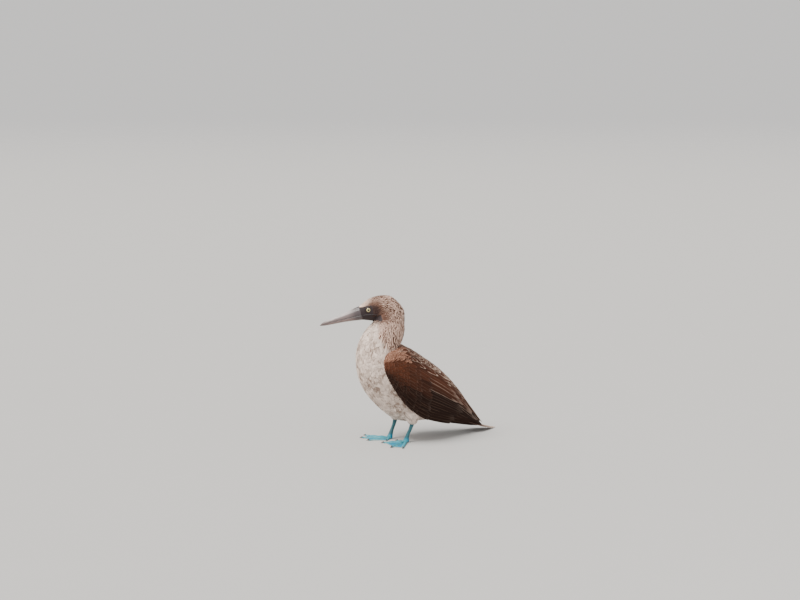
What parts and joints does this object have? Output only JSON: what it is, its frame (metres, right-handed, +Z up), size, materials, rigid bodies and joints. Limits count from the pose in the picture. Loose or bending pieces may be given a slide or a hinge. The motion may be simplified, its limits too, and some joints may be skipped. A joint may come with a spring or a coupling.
{
  "type": "blue footed booby model",
  "caption": "Life-size museum model of a blue-footed booby standing on both feet, wings folded, tail tip on the floor and head turned to its right.",
  "frame": {"origin": "on the floor, at the middle of the bottom of the bounding box", "axes": "+X forward along the bird's body, +Y to the bird's left, +Z up"},
  "size_m": [0.4516, 0.1764, 0.3549],
  "materials": {
    "streaked_plumage": "soft feather, brown and white streaks",
    "white_plumage": "soft feather, white",
    "brown_plumage": "smooth feather, dark brown",
    "tail_plumage": "smooth feather, brown with paler middle",
    "bill_horn": "satin horn, slate grey",
    "eye": "wet, pale yellow iris",
    "blue_skin": "satin scaled skin, turquoise blue",
    "claw": "horn, grey"
  },
  "bodies": {
    "root": {"head": "streaked_plumage", "neck": "streaked_plumage", "torso": "white_plumage", "upper_bill": "bill_horn", "lower_bill": "bill_horn", "tail": "tail_plumage", "left_eye": "eye", "left_wing": "brown_plumage", "left_thigh": "white_plumage", "left_leg": "blue_skin", "left_foot": "blue_skin", "left_outer_claw": "claw", "left_middle_claw": "claw", "left_inner_claw": "claw", "left_hind_claw": "claw", "right_eye": "eye", "right_wing": "brown_plumage", "right_thigh": "white_plumage", "right_leg": "blue_skin", "right_foot": "blue_skin", "right_outer_claw": "claw", "right_middle_claw": "claw", "right_inner_claw": "claw", "right_hind_claw": "claw"}
  },
  "joints": []
}
